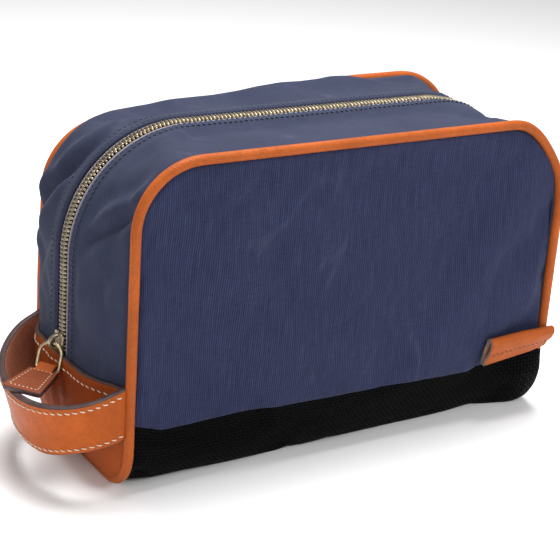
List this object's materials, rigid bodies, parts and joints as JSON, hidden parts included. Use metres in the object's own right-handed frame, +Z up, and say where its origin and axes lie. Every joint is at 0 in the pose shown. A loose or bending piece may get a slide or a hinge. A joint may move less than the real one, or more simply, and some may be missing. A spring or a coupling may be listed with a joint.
{
  "type": "shaving kit bag",
  "caption": "Piped canvas wash bag with a nylon base, a metal zipper over its top, a leather handle on one end and a folded leather loop tab.",
  "frame": {"origin": "centre of the bag's base where it rests", "axes": "+X along the bag away from the handle, -Y out of the front, +Z up"},
  "size_m": [0.2993, 0.1148, 0.168],
  "materials": {
    "navy_canvas": "waxed canvas",
    "black_nylon": "coarse basket weave",
    "lining_cloth": "plain weave",
    "zipper_tape": "woven tape",
    "antique_brass": "antiqued",
    "tan_leather": "smooth, softly polished",
    "dark_leather": "matte"
  },
  "bodies": {
    "bag": {"front_canvas_panel": "navy_canvas", "back_canvas_panel": "navy_canvas", "gusset_front": "navy_canvas", "gusset_back": "navy_canvas", "base_panel": "black_nylon", "main_lining": "lining_cloth", "gusset_lining_front": "lining_cloth", "gusset_lining_back": "lining_cloth", "zipper_tape_front": "zipper_tape", "zipper_tape_back": "zipper_tape", "zipper_teeth_front": "antique_brass", "zipper_teeth_back": "antique_brass", "zipper_top_stop_front": "antique_brass", "zipper_top_stop_back": "antique_brass", "zipper_bottom_stop": "antique_brass", "piping_front": "tan_leather", "piping_back": "tan_leather", "end_patch_left": "tan_leather", "end_patch_right": "tan_leather"},
    "slider": {"zipper_slider": "antique_brass"},
    "ring": {"pull_ring": "antique_brass"},
    "tab": {"pull_tab": "dark_leather"},
    "handle": {"handle_outer": "tan_leather", "handle_lining": "dark_leather"},
    "loop_tab": {"front_loop_tab": "tan_leather"}
  },
  "joints": [
    {"name": "zipper_travel", "type": "slide", "parent": "bag", "child": "slider", "axis": [0, 0, 1], "range_m": [0, 0.036]},
    {"name": "ring_swing", "type": "hinge", "parent": "slider", "child": "ring", "pos_m": [-0.1409, 0, 0.0622], "axis": [-0.4067, 0.9136, 0], "range_deg": [0, 70]},
    {"name": "tab_swing", "type": "hinge", "parent": "ring", "child": "tab", "pos_m": [-0.14587, -0.0009, 0.05005], "axis": [-0.4067, 0.9136, 0], "range_deg": [0, 40]},
    {"name": "handle_swing", "type": "hinge", "parent": "bag", "child": "handle", "pos_m": [-0.1261, 0, 0.0439], "axis": [0, 1, 0], "range_deg": [-5, 0]},
    {"name": "loop_tab_fold", "type": "hinge", "parent": "bag", "child": "loop_tab", "pos_m": [0.1022, -0.0536, 0.0348], "axis": [1, 0, 0], "range_deg": [0, 30]}
  ]
}
